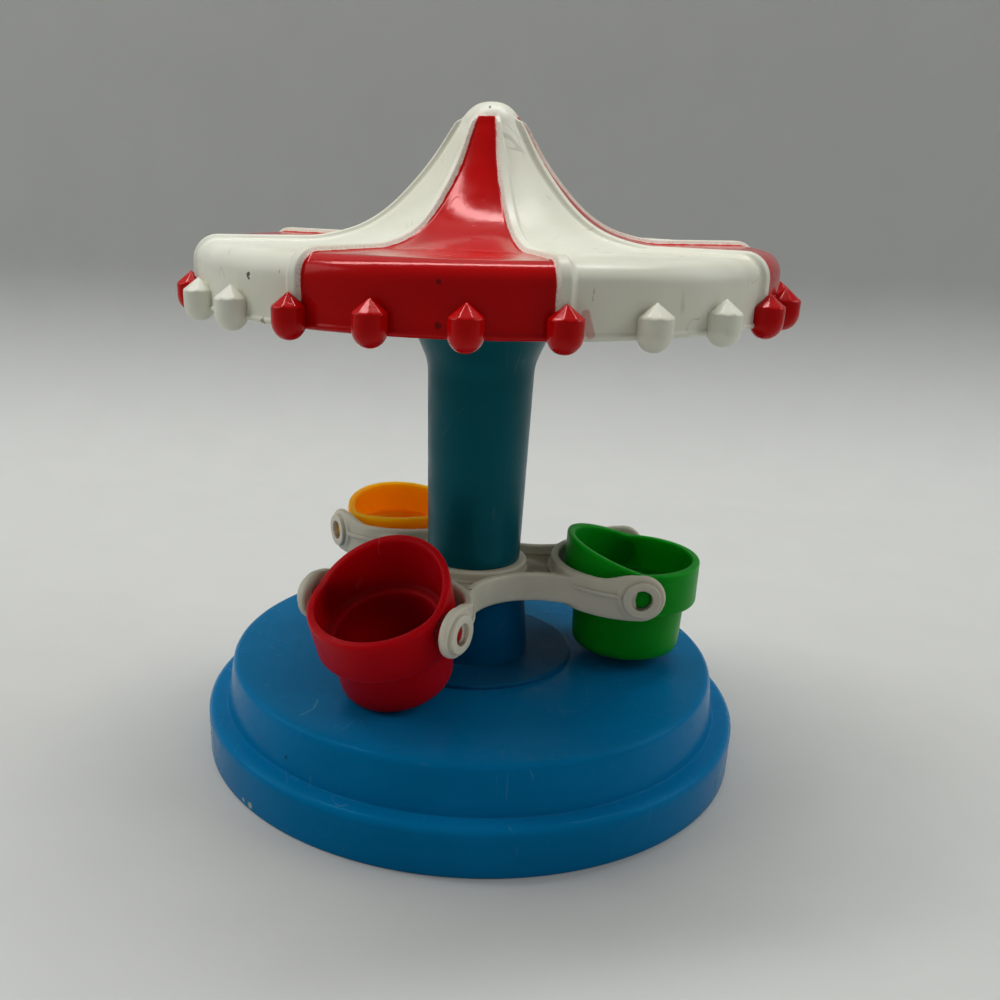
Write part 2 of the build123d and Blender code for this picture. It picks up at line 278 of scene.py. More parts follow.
def finish_surface(tree, shader, shade, rough, relief, strength=0.5, depth=0.12 * mm):
    """Links colour, roughness and relief to the shader."""
    bump = add(tree, "ShaderNodeBump", {"Height": relief, "Strength": strength, "Distance": depth})
    tree.links.new(shade, shader.inputs["Base Color"])
    tree.links.new(rough, shader.inputs["Roughness"])
    tree.links.new(bump.outputs[0], shader.inputs["Normal"])


# %% [markdown]
# ## Effects that several plastics share
# Moulded toy plastic is never perfectly even.  The skin has a faint orange peel and slow waves
# where it shrank in the mould, handling leaves hairline scratches, dirt settles as specks and as
# a dull film on faces that look up, and corners rub pale.  Each effect is a group, so a material
# can ask for more or less of it.


# %% Moulded skin
def moulded_skin_group():
    tree, given, result = new_group(
        "Moulded skin", [("Position", "vector"), ("Grain", "value"), ("Waves", "value")],
        [("Height", "value"), ("Tone", "value")])
    peel = noise(tree, given["Position"], 1400.0, detail=2.0)
    waves = noise(tree, given["Position"], 70.0, detail=1.0)
    fine = calc(tree, "MULTIPLY", peel, given["Grain"])
    tree.links.new(calc(tree, "MULTIPLY_ADD", waves, given["Waves"], fine), result["Height"])
    tree.links.new(noise(tree, given["Position"], 28.0, detail=4.0, distortion=0.6), result["Tone"])
    return tree


moulded_skin = moulded_skin_group()


# %% [markdown]
# Handling leaves hairlines in a few directions.  Stretched noise crosses its middle value along
# long thin lines, so that crossing is used as the scratch.


# %% Hairline scratches
def scratches_group():
    """Thin lines where stretched noise crosses its middle value, kept only in patches."""
    tree, given, result = new_group(
        "Hairline scratches", [("Position", "vector"), ("Amount", "value")], [("Mask", "value")])
    lines = None
    for scale, stretch in ((95.0, (1.0, 0.12, 0.35)), (120.0, (0.15, 1.0, 0.3)), (80.0, (0.5, 0.4, 0.09))):
        value = noise(tree, given["Position"], scale, detail=2.0, distortion=0.4, stretch=stretch)
        line = fade(tree, 0.0045, 0.001, calc(tree, "ABSOLUTE", calc(tree, "SUBTRACT", value, 0.52)))
        lines = line if lines is None else calc(tree, "MAXIMUM", lines, line)
    patches = fade(tree, 0.56, 0.66, noise(tree, given["Position"], 110.0, detail=2.0))
    kept = calc(tree, "MULTIPLY", calc(tree, "MULTIPLY", lines, patches), given["Amount"], clamp=True)
    tree.links.new(kept, result["Mask"])
    return tree


scratches = scratches_group()


# %% [markdown]
# Specks of dirt sit in pits of the skin.  Random cells give each speck its own chance and size.


# %% Dirt specks
def specks_group():
    """Small dots in a few cells of a random cell pattern."""
    tree, given, result = new_group(
        "Dirt specks", [("Position", "vector"), ("Scale", "value"), ("Density", "value")],
        [("Mask", "value")])
    bent = noise(tree, given["Position"], 900.0, output="Color")
    nudge = add(tree, "ShaderNodeVectorMath", {0: bent, 3: 0.0012}, operation="SCALE").outputs[0]
    moved = add(tree, "ShaderNodeVectorMath", {0: given["Position"], 1: nudge}, operation="ADD").outputs[0]
    cells = add(tree, "ShaderNodeTexVoronoi", {"Vector": moved, "Scale": given["Scale"]})
    chance = add(tree, "ShaderNodeSeparateColor", {"Color": cells.outputs["Color"]}).outputs
    rare = calc(tree, "LESS_THAN", chance[0], given["Density"])
    size = calc(tree, "MULTIPLY", chance[1], 0.22)
    dot = calc(tree, "LESS_THAN", cells.outputs["Distance"], size)
    tree.links.new(calc(tree, "MULTIPLY", rare, dot), result["Mask"])
    return tree


specks = specks_group()


# %% [markdown]
# Dust settles where a face looks up, so the height of the normal decides how much stays.


# %% Settled dust
def dust_group():
    """Film on faces that look up: the normal's height squared, broken by noise."""
    tree, given, result = new_group(
        "Settled dust", [("Position", "vector"), ("Amount", "value")], [("Mask", "value")])
    facing = add(tree, "ShaderNodeNewGeometry").outputs["Normal"]
    up = add(tree, "ShaderNodeSeparateXYZ", {0: facing}).outputs[2]
    flat = calc(tree, "POWER", calc(tree, "MAXIMUM", up, 0.0), 2.0)
    cloud = fade(tree, 0.35, 0.75, noise(tree, given["Position"], 45.0, detail=6.0, distortion=0.5))
    film = calc(tree, "MULTIPLY", flat, cloud)
    tree.links.new(calc(tree, "MULTIPLY", film, given["Amount"], clamp=True), result["Mask"])
    return tree


dust = dust_group()


# %% [markdown]
# Corners rub first.  A bevelled normal differs from the true one only near an edge, which finds
# the corners on any shape.


# %% Rubbed edges
def rubbed_edges_group():
    """Where the surface turns sharply: one minus the normal's product with a bevelled one."""
    tree, given, result = new_group(
        "Rubbed edges", [("Position", "vector"), ("Width", "value"), ("Amount", "value")],
        [("Mask", "value")])
    soft = add(tree, "ShaderNodeBevel", {"Radius": given["Width"]}, samples=4).outputs[0]
    plain = add(tree, "ShaderNodeNewGeometry").outputs["Normal"]
    close = add(tree, "ShaderNodeVectorMath", {0: soft, 1: plain}, operation="DOT_PRODUCT").outputs["Value"]
    edge = fade(tree, 0.01, 0.12, calc(tree, "SUBTRACT", 1.0, close))
    broken = fade(tree, 0.35, 0.65, noise(tree, given["Position"], 350.0, detail=4.0))
    worn = calc(tree, "MULTIPLY", edge, broken)
    tree.links.new(calc(tree, "MULTIPLY", worn, given["Amount"], clamp=True), result["Mask"])
    return tree


rubbed_edges = rubbed_edges_group()

# %% [markdown]
# Some marks have a place: a chip where the base was knocked, a run of paint, a cut.  One group
# draws them all.  It measures the distance to a line between two points, and a round chip is a
# line of no length.  Noise on the distance makes the outline ragged, as broken plastic is.


# %% Chips and strokes
def stroke_group():
    """Ragged line: the distance to the segment from Start to End, against a half width."""
    tree, given, result = new_group(
        "Chip or stroke",
        [("Position", "vector"), ("Start", "vector"), ("End", "vector"), ("Width", "value")],
        [("Mask", "value")])

    def between(operation, first, second, output=0):
        return add(tree, "ShaderNodeVectorMath", {0: first, 1: second}, operation=operation).outputs[output]

    run = between("SUBTRACT", given["End"], given["Start"])
    gone = between("SUBTRACT", given["Position"], given["Start"])
    share = calc(tree, "DIVIDE", between("DOT_PRODUCT", gone, run, "Value"),
                 between("DOT_PRODUCT", run, run, "Value"), clamp=True)
    foot = add(tree, "ShaderNodeVectorMath", {0: run, 3: share}, operation="SCALE").outputs[0]
    off = between("DISTANCE", gone, foot, "Value")
    uneven = calc(tree, "ADD", noise(tree, given["Position"], 1500.0), 0.5)
    core = calc(tree, "MULTIPLY", given["Width"], 0.6)
    mask = fade(tree, given["Width"], core, calc(tree, "MULTIPLY", off, uneven))
    tree.links.new(mask, result["Mask"])
    return tree


def marked(material, marks):
    """Mixes marks into a material's colour: (start, end, half width, colour, strength) each."""
    tree = material.node_tree
    colour_in = tree.nodes["Principled BSDF"].inputs["Base Color"]
    position = add(tree, "ShaderNodeTexCoord").outputs["Object"]
    for start, end, width, colour, strength in marks:
        mask = place(tree, stroke, Position=position, Start=start, End=end, Width=width)["Mask"]
        shade = tint(tree, calc(tree, "MULTIPLY", mask, strength), colour_in.links[0].from_socket, colour)
        tree.links.new(shade, colour_in)


def on_turned(bearing, radius, height):
    """A place on a turned surface: bearing in degrees from +X, radius and height in metres."""
    angle = math.radians(bearing)
    return (radius * math.cos(angle), radius * math.sin(angle), height)


stroke = stroke_group()
print("shader groups:", [g.name for g in bpy.data.node_groups])

# %% [markdown]
# ## Moulded plastics
# The base, column, carrier and cups are the same family of finish: coloured through, satin, a
# little see-through at thin walls.  One function builds it, and each piece passes its colour and
# how worn, dusty and dirty it is.


# %% A plastic built from the shared effects
def coloured_plastic(name, colour, roughness=0.32, tone=0.12, film=0.25, film_colour=(0.35, 0.36, 0.34, 1),
                     worn=0.25, scratched=0.5, speckled=0.0, speck_scale=260.0, glow=0.0, glow_depth=6 * mm,
                     speck_colour=(0.03, 0.03, 0.025, 1), grain=0.15, sheen=0.3, sheen_colour=(1, 1, 1, 1)):
    """Returns the material, so that a piece can add marks to its tree."""
    material, tree, shader, position = new_material(name)
    skin = place(tree, moulded_skin, Position=position, Grain=grain, Waves=1.0)
    darker = tuple(c * (1 - tone) for c in colour[:3]) + (1,)
    lighter = tuple(min(1, c * (1 + tone) + 0.01 * tone) for c in colour[:3]) + (1,)
    shade = tint(tree, fade(tree, 0.3, 0.7, skin["Tone"]), darker, lighter)
    hairs = place(tree, scratches, Position=position, Amount=scratched)["Mask"]
    rubbed = place(tree, rubbed_edges, Position=position, Width=0.5 * mm, Amount=worn)["Mask"]
    settled = place(tree, dust, Position=position, Amount=film)["Mask"]
    pale = tuple(c + (0.6 - c) * 0.35 for c in colour[:3]) + (1,)
    shade = tint(tree, calc(tree, "MAXIMUM", calc(tree, "MULTIPLY", hairs, 0.5), rubbed), shade, pale)
    shade = tint(tree, settled, shade, film_colour)
    if speckled:
        dots = place(tree, specks, Position=position, Scale=speck_scale, Density=speckled)["Mask"]
        shade = tint(tree, dots, shade, speck_colour)
    patchy = fade(tree, 0.25, 0.8, noise(tree, position, 160.0, detail=5.0))
    rough = calc(tree, "MULTIPLY_ADD", patchy, 0.14, roughness - 0.07)
    rough = calc(tree, "MULTIPLY_ADD", settled, 0.45, rough)
    rough = calc(tree, "MULTIPLY_ADD", rubbed, 0.2, rough, clamp=True)
    relief = calc(tree, "MULTIPLY_ADD", hairs, -0.35, skin["Height"])
    finish_surface(tree, shader, shade, rough, relief)
    shader.inputs["IOR"].default_value = 1.5
    shader.inputs["Specular IOR Level"].default_value = sheen
    shader.inputs["Specular Tint"].default_value = sheen_colour
    if glow:
        shader.inputs["Subsurface Weight"].default_value = glow
        shader.inputs["Subsurface Scale"].default_value = glow_depth
        shader.inputs["Subsurface Radius"].default_value = tuple(0.2 + c for c in colour[:3])
    return material


base_blue = coloured_plastic("base blue plastic", (0.0, 0.150, 0.345, 1), roughness=0.24, tone=0.06,
                             film=0.02, film_colour=(0.05, 0.24, 0.36, 1),
                             worn=0.2, scratched=0.25, grain=0.1,
                             sheen=0.07, sheen_colour=(0.03, 0.6, 1.0, 1))
column_teal = coloured_plastic("column teal plastic", (0.0, 0.068, 0.090, 1), roughness=0.36, tone=0.06,
                               film=0.0, worn=0.2, scratched=0.15, grain=0.1,
                               sheen_colour=(0.15, 0.8, 0.9, 1))
carrier_cream = coloured_plastic("carrier cream plastic", (0.62, 0.58, 0.465, 1), roughness=0.42, tone=0.16,
                                 film=0.35, film_colour=(0.30, 0.27, 0.20, 1), scratched=0.5,
                                 speckled=0.05, speck_scale=300.0, speck_colour=(0.12, 0.09, 0.05, 1),
                                 glow=0.15)


def web_shade_and_grime(material, web_level):
    """Painted shade and brown grime on the flat web that the straps enclose: up-facing, below a level."""
    tree = material.node_tree
    colour_in = tree.nodes["Principled BSDF"].inputs["Base Color"]
    position = add(tree, "ShaderNodeTexCoord").outputs["Object"]
    height = add(tree, "ShaderNodeSeparateXYZ", {0: position}).outputs[2]
    facing = add(tree, "ShaderNodeNewGeometry").outputs["Normal"]
    up = add(tree, "ShaderNodeSeparateXYZ", {0: facing}).outputs[2]
    low = fade(tree, web_level + 1.4 * mm, web_level + 0.3 * mm, height)
    patch = fade(tree, 0.25, 0.6, noise(tree, position, 130.0, detail=6.0))
    mask = calc(tree, "MULTIPLY", calc(tree, "MULTIPLY", low, fade(tree, 0.5, 0.9, up)), patch)
    clean = colour_in.links[0].from_socket
    # Painted shade: the recessed web is mixed towards dark brown, standing in for the shade between the
    # straps and the hub, with some grime.
    shade = tint(tree, calc(tree, "MULTIPLY", mask, 0.75), clean, (0.17, 0.12, 0.07, 1))
    tree.links.new(shade, colour_in)


cup_colours = {"green_cup": (0.002, 0.24, 0.008, 1), "orange_cup": (1.0, 0.29, 0.002, 1),
               "red_cup": (0.38, 0.001, 0.005, 1)}
cup_sheens = {"green_cup": (0.3, 1.0, 0.4, 1), "orange_cup": (1.0, 0.6, 0.2, 1),
              "red_cup": (1.0, 0.3, 0.3, 1)}
cup_plastics = {body: coloured_plastic(body.replace("_", " ") + " plastic", colour, roughness=0.36, tone=0.06,
                                       film=0.03, worn=0.6, scratched=0.3, glow=1.0, glow_depth=15 * mm,
                                       grain=0.12, sheen=0.12,
                                       sheen_colour=cup_sheens[body])
                for body, colour in cup_colours.items()}

# %% [markdown]
# ## Base
# The base is one blue shell with two steps and soft edges, open underneath.  Its outline goes up
# the outside, over the top and back down the inside, so one closed turn makes a real wall.

# %% Base shell
base_wall = 2.4 * mm
step_radius = 67.8 * mm
step_top_radius = 65.6 * mm
flange_height = 12.7 * mm
ceiling = base_top - base_wall
bore = 2.4 * mm
base_corners = [
    (bore, base_top, 0), (step_top_radius, base_top, 1.8 * mm), (step_radius, flange_height, 0.3 * mm),
    (base_radius, flange_height, 2.0 * mm), (base_radius, 0, 0.4 * mm),
    (base_radius - base_wall, 0, 0.4 * mm), (base_radius - base_wall, flange_height - base_wall, 1.2 * mm),
    (step_radius - base_wall, flange_height - base_wall, 0.5 * mm),
    (step_top_radius - base_wall, ceiling, 1.2 * mm), (7 * mm, ceiling, 0.5 * mm), (7 * mm, 9 * mm, 0.4 * mm),
    (bore, 9 * mm, 0)]
base = Shells()
base.add(turned(rounded_outline(base_corners, closed=True), 160), wrap_rows=True)
rib_section = rounded_outline([(-0.9 * mm, 14.2 * mm, 0.3 * mm), (0.9 * mm, 14.2 * mm, 0.3 * mm),
                               (0.9 * mm, ceiling + 0.5 * mm, 0), (-0.9 * mm, ceiling + 0.5 * mm, 0)],
                              closed=True)
for k in range(6):
    angle = math.radians(30 + 60 * k)
    reach = np.array((6.5 * mm, 6.5 * mm, 63.5 * mm, 63.5 * mm))[:, None]
    shrink = np.array((0.0, 1.0, 1.0, 0.0))[:, None]
    side = rib_section[:, 0] * shrink
    level = rib_section[:, 1].mean() + (rib_section[:, 1] - rib_section[:, 1].mean()) * shrink
    rib = np.stack([reach * math.cos(angle) - side * math.sin(angle),
                    reach * math.sin(angle) + side * math.cos(angle), level], -1)
    base.add(rib)
base_piece = base.build("base_body")
base_piece.data.materials.append(base_blue)
knock, knock_beside = on_turned(223.5, base_radius, 1.5 * mm), on_turned(221, base_radius, 1.5 * mm)
step_nick = on_turned(230, 67.5 * mm, 16.5 * mm)
graze_start, graze_end = on_turned(299, 66.5 * mm, 22 * mm), on_turned(301, 66.5 * mm, 21.5 * mm)
cut_start, cut_middle = on_turned(225, 53 * mm, base_top), on_turned(228, 56.5 * mm, base_top)
cut_end = on_turned(228.5, 61 * mm, base_top)
chip_pale, chip_dark, blue_pale = (0.45, 0.48, 0.30, 1), (0.01, 0.02, 0.03, 1), (0.10, 0.35, 0.48, 1)
marked(base_blue, [(knock, knock, 1.1 * mm, chip_pale, 0.8),
                   (knock_beside, knock_beside, 0.7 * mm, chip_pale, 0.7),
                   (step_nick, step_nick, 0.7 * mm, chip_dark, 0.8),
                   (graze_start, graze_end, 0.3 * mm, blue_pale, 0.6),
                   (cut_start, cut_middle, 0.25 * mm, blue_pale, 0.6),
                   (cut_middle, cut_end, 0.25 * mm, blue_pale, 0.6)])
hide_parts("base_shell")
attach(base_piece, "base")

# %% [markdown]
# ## Column
# The column is a drawn-out tube with a slight taper that flares into a flange under the canopy.

# %% Column
column_wall = 1.8 * mm
column_bottom_radius, column_top_radius = 12.45 * mm, 13.6 * mm
flare_start, flare_end, flare_radius = column_high.z - 23.5 * mm, column_high.z - 15.5 * mm, 17.2 * mm
flange_top, flange_bottom, flange_radius = column_high.z, column_high.z - 2 * mm, column_high.x
column_corners = [
    (column_bottom_radius - column_wall, column_low.z, 0.2 * mm),
    (column_bottom_radius, column_low.z, 0.5 * mm),
    (column_top_radius, flare_start, 12 * mm), (flare_radius, flare_end, 6 * mm),
    (flare_radius, flange_bottom, 0.8 * mm), (flange_radius, flange_bottom, 0.3 * mm),
    (flange_radius, flange_top, 0.3 * mm), (flare_radius - column_wall, flange_top, 0.4 * mm),
    (flare_radius - column_wall, flare_end, 5 * mm), (column_top_radius - column_wall, flare_start, 10 * mm)]
column = Shells()
column.add(turned(rounded_outline(column_corners, closed=True, spacing=3 * mm), 128), wrap_rows=True)
web = rounded_outline([(2.45 * mm, bearing_web_top - 2 * mm, 0), (12.3 * mm, bearing_web_top - 2 * mm, 0),
                       (12.3 * mm, bearing_web_top, 0), (2.45 * mm, bearing_web_top, 0)],
                      closed=True, spacing=4 * mm)
column.add(turned(web, 64), wrap_rows=True)
column_piece = column.build("column_tube")
column_piece.data.materials.append(column_teal)
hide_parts("column")
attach(column_piece, "carousel")

# %% [markdown]
# ## Carrier
# The carrier is one moulding: straps bow in between the arms, and each arm ends in a half ring
# that holds a cup between two bosses.  Every part of it is a section carried along an arc, or a
# turned form.  Remeshing then melts them into one skin and leaves the small fillets that a
# mould has, which overlapping shells don't.

# %% Carrier: sections along arcs
arm_count = 3
yoke_inner, yoke_outer = 19.6 * mm, 21.8 * mm
boss_disc, boss_ring, pin_hole = 6.1 * mm, 4.75 * mm, 2.66 * mm
boss_face = yoke_outer + 1.1 * mm
yoke_bottom = pivot_height - boss_disc
strap_low, strap_high, strap_wall = 44.2 * mm, 51.8 * mm, 2.0 * mm
strap_inset = 17.2 * mm
half_pitch = math.pi / arm_count


def tangent_arc():
    """Centre distance and radius of the arc that touches both yokes and clears the axis."""
    a, b = arm_radius, yoke_outer - strap_inset
    distance = (a * a - b * b) / (2 * b + 2 * a * math.cos(half_pitch))
    return distance, distance - strap_inset


strap_distance, strap_radius = tangent_arc()


def band(centre, radius, angles, width, low, high, edge=0.55 * mm):
    """Upright rounded band along an arc: section width x height at each angle, ends closed."""
    angles, low, high = np.broadcast_arrays(angles, low, high)
    section = rounded_outline([(-0.5, -0.5, 0.12), (0.5, -0.5, 0.12), (0.5, 0.5, 0.12), (-0.5, 0.5, 0.12)],
                              closed=True, spacing=0.2, steps=4)
    shrink = np.ones(len(angles) + 2)
    shrink[[0, -1]] = 0.02
    angles = np.concatenate([angles[:1], angles, angles[-1:]])[:, None]
    low = np.concatenate([low[:1], low, low[-1:]])[:, None]
    high = np.concatenate([high[:1], high, high[-1:]])[:, None]
    across = radius + section[:, 0] * width * shrink[:, None]
    level = (low + high) / 2 + section[:, 1] * (high - low) * shrink[:, None]
    return np.stack([centre[0] + across * np.cos(angles), centre[1] + across * np.sin(angles), level], -1)


def about_axis(grid, turn):
    """Turns a grid of points about Z."""
    c, s = math.cos(turn), math.sin(turn)
    return grid @ np.array([[c, s, 0], [-s, c, 0], [0, 0, 1]])


def sideways(outline, sign, segments=40):
    """A turned form whose axis runs along +Y or -Y through the origin."""
    grid = turned(outline, segments)
    return np.stack([grid[..., 0], sign * grid[..., 2], grid[..., 1]], -1)


# %% [markdown]
# The arms and straps are bands, the bosses are turned about the cup axis, and the flat web fills
# the space up to the nearest band.  The boss rings and ridges stay crisp in a mesh of their own.


# %% Carrier: arms, straps and web
boss_outline = rounded_outline([
    (pin_hole, yoke_inner, 0.2 * mm), (boss_disc, yoke_inner, 0.6 * mm), (boss_disc, yoke_outer, 0.6 * mm),
    (pin_hole, yoke_outer, 0.2 * mm)], closed=True, spacing=0.8 * mm)
ring_outline = rounded_outline([
    (pin_hole, yoke_outer - 0.7 * mm, 0.1 * mm), (boss_ring, yoke_outer - 0.7 * mm, 0.1 * mm),
    (boss_ring, boss_face, 0.35 * mm), (pin_hole, boss_face, 0.3 * mm)], closed=True, spacing=0.6 * mm)
arm_point = np.array((arm_radius, 0.0, 0.0))
level_up = np.array((0, 0, pivot_height))
carrier = Shells()
boss_rings = Shells()
for k in range(arm_count):
    turn = 2 * half_pitch * k
    sweep = np.linspace(math.pi / 2 + 0.05, 1.5 * math.pi - 0.05, 60)
    rise = ramp(-11.5 * mm, -2.5 * mm, yoke_outer * np.cos(sweep))
    top = 53.2 * mm + (pivot_height + boss_disc - 53.4 * mm) * rise
    ring = band(arm_point, (yoke_inner + yoke_outer) / 2, sweep, yoke_outer - yoke_inner, yoke_bottom, top)
    carrier.add(about_axis(ring, turn))
    ridge = band(arm_point, yoke_outer, sweep[3:-3], 1.3 * mm,
                 pivot_height - 0.1 * mm, pivot_height + 1.0 * mm)
    boss_rings.add(about_axis(ridge, turn))
    for sign in (1, -1):
        carrier.add(about_axis(sideways(boss_outline, sign) + arm_point + level_up, turn), wrap_rows=True)
        boss_rings.add(about_axis(sideways(ring_outline, sign) + arm_point + level_up, turn), wrap_rows=True)
    strap_centre = (strap_distance * math.cos(half_pitch), strap_distance * math.sin(half_pitch))
    reach = math.acos((strap_distance - arm_radius * math.cos(half_pitch)) / (strap_radius + yoke_outer))
    middle = half_pitch + math.pi
    bow = np.linspace(middle - reach - 0.02, middle + reach + 0.02, 50)
    strap = band(strap_centre, strap_radius + strap_wall / 2, bow, strap_wall, strap_low, strap_high)
    carrier.add(about_axis(strap, turn))

angle = np.linspace(0, 2 * np.pi, 360, endpoint=False)
to_arm = (angle + half_pitch) % (2 * half_pitch) - half_pitch
to_strap = angle % (2 * half_pitch) - half_pitch
yoke_mid, strap_mid = (yoke_inner + yoke_outer) / 2, strap_radius + strap_wall / 2


def near_side(distance, radius, bearing):
    """Distance from the axis to a circle's near side; infinite where the ray misses it."""
    under = radius ** 2 - (distance * np.sin(bearing)) ** 2
    hit = distance * np.cos(bearing) - np.sqrt(np.maximum(under, 0))
    return np.where(under > 0, hit, np.inf)


web_edge = np.minimum(near_side(arm_radius, yoke_mid, to_arm), near_side(strap_distance, strap_mid, to_strap))
web_top, web_under = 49.2 * mm, 47.2 * mm
share = np.array((0.0, 0.4, 0.8, 1.0, 1.0, 0.8, 0.4, 0.0))[:, None]
level = np.array((web_top,) * 4 + (web_under,) * 4)[:, None]
plate_radius = 4 * mm + (web_edge - 4 * mm) * share
plate = np.stack([plate_radius * np.cos(angle), plate_radius * np.sin(angle), level + 0 * angle], -1)
carrier.add(plate, wrap_rows=True)
hub_outline = rounded_outline([
    (2.45 * mm, carrier_high.z, 0.2 * mm), (5.0 * mm, carrier_high.z, 0.4 * mm), (5.0 * mm, 49 * mm, 0),
    (8.6 * mm, 49 * mm, 0), (8.6 * mm, carrier_high.z, 0.3 * mm), (10.5 * mm, carrier_high.z, 0.5 * mm),
    (10.5 * mm, column_low.z, 0), (14.4 * mm, column_low.z, 0.5 * mm), (14.4 * mm, web_under, 0.3 * mm),
    (5.0 * mm, web_under, 0.3 * mm), (5.0 * mm, 44.1 * mm, 0.3 * mm), (2.45 * mm, 44.1 * mm, 0)], closed=True)
carrier.add(turned(hub_outline, 96), wrap_rows=True)
carrier_piece = carrier.build("carrier_moulding")
rings_piece = boss_rings.build("carrier_rings")


# %% [markdown]
# Voxel remeshing rebuilds the surface on a fine grid.  A few smoothing steps then round every
# corner by about half a millimetre, as the mould does.

# %% Carrier: one skin
def one_skin(piece, voxel, smoothing):
    """Voxel remesh and smooth, applied to the mesh."""
    skin = piece.modifiers.new("skin", "REMESH")
    skin.mode = "VOXEL"
    skin.voxel_size = voxel
    ease = piece.modifiers.new("ease", "SMOOTH")
    ease.factor = 0.5
    ease.iterations = smoothing
    graph = bpy.context.evaluated_depsgraph_get()
    mesh = bpy.data.meshes.new_from_object(piece.evaluated_get(graph))
    piece.modifiers.clear()
    piece.data = mesh
    mesh.shade_smooth()
    print("%-18s %6d faces after remeshing" % (piece.name, len(mesh.polygons)))


one_skin(carrier_piece, 0.38 * mm, 2)
# Painted shade with a grime tint goes on the carrier's recessed web.
web_shade_and_grime(carrier_cream, web_top)
carrier_piece.data.materials.clear()
for moulded in (carrier_piece, rings_piece):
    moulded.data.materials.append(carrier_cream)
    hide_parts("carrier")
    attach(moulded, "carousel")

# %% [markdown]
# ## Cups
# A cup is a stepped turned form whose upper band is sheared upwards on the side towards the
# column, which makes the backrest.  Two stub pins with domed ends sit in the carrier's bosses.
# The rim formula is: height = rim + slope x how far the point lies behind the start of the back.

# %% Cups
cup_radius, cup_wall = 17.8 * mm, 2.0 * mm
cup_rim, cup_shoulder, cup_bottom = 4.8 * mm, -6.7 * mm, -21.2 * mm
cup_lower, cup_base = 14.9 * mm, 14.4 * mm
back_start, back_slope = 1.0 * mm, 0.33
cup_tilts = {"green_cup": 0.0, "orange_cup": -12.0, "red_cup": 20.0}
cup_outline = rounded_outline([
    (0, cup_bottom, 0), (cup_base, cup_bottom, 3.0 * mm), (cup_lower, cup_shoulder, 0.3 * mm),
    (cup_radius, cup_shoulder, 0.7 * mm), (cup_radius, cup_rim, 0.75 * mm),
    (cup_radius - cup_wall, cup_rim, 0.5 * mm), (cup_radius - cup_wall, cup_shoulder + cup_wall, 0.8 * mm),
    (cup_lower - cup_wall, cup_shoulder + cup_wall, 0.8 * mm),
    (cup_base - cup_wall, cup_bottom + cup_wall, 1.6 * mm), (0, cup_bottom + cup_wall, 0)],
    spacing=1.2 * mm)
pin_tip = boss_face - 0.8 * mm
pin_outline = rounded_outline([
    (0, cup_radius - cup_wall / 2, 0), (3.6 * mm, cup_radius - cup_wall / 2, 0),
    (3.6 * mm, yoke_inner - 0.4 * mm, 0.3 * mm), (2.45 * mm, yoke_inner - 0.4 * mm, 0.2 * mm),
    (2.45 * mm, pin_tip - 0.6 * mm, 1.0 * mm), (0, pin_tip, 0)], spacing=0.5 * mm)


def raise_back(grid):
    """Shears the upper band: each height above the shoulder is stretched to the local rim."""
    behind = back_start - grid[..., 0]
    soft = 0.5 * (behind + np.sqrt(behind ** 2 + (0.5 * mm) ** 2))
    rim = cup_rim + back_slope * soft
    stretch = (rim - cup_shoulder) / (cup_rim - cup_shoulder)
    above = np.maximum(grid[..., 2] - cup_shoulder, 0)
    raised = grid.copy()
    raised[..., 2] += above * (stretch - 1)
    return raised


def lean(grid, degrees):
    """Turns a grid about the Y axis: positive moves the top outwards, along +X."""
    c, s = math.cos(math.radians(degrees)), math.sin(math.radians(degrees))
    return grid @ np.array([[c, 0, -s], [0, 1, 0], [s, 0, c]])


for k, (body, tilt) in enumerate(cup_tilts.items()):
    cup = Shells()
    forms = [raise_back(turned(cup_outline, 120))] + [sideways(pin_outline, s, 32) for s in (1, -1)]
    for form in forms:
        placed = about_axis(lean(form, tilt) + arm_point + level_up, 2 * half_pitch * k)
        cup.add(placed)
    colour_name = body.split("_")[0]
    cup_piece = cup.build(colour_name + "_cup_moulding")
    cup_piece.data.materials.append(cup_plastics[body])
    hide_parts("cup_" + colour_name)
    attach(cup_piece, body)

# %% [markdown]
# ## Canopy roof
# The roof is a turned surface with eight raised ribs.  Its grid follows the ribs: each sector's
# columns stand at fixed distances from the rib, so the rib stays as wide at the brim as near
# the top.  The same distances say where the sprayed red paint ends, so the mesh carries a value
# in millimetres, positive inside the paint, and the material turns it into a soft edge.

# %% Canopy: profile
canopy_wall = 2.0 * mm
skirt_radius, skirt_bottom = 69.3 * mm, 118.5 * mm
brim_height, brim_start, brim_edge = 133.0 * mm, 44.0 * mm, 5.0 * mm
canopy_top = canopy_high.z
dome_height = canopy_top - brim_height
slope_shares = np.array([(0, 0), (3.6, 0.024), (7.2, 0.139), (12.6, 0.397), (18.1, 0.609), (24.2, 0.791),
                         (30.8, 0.914), (37.2, 0.974)])
slope_drops = slope_shares * (mm, dome_height)


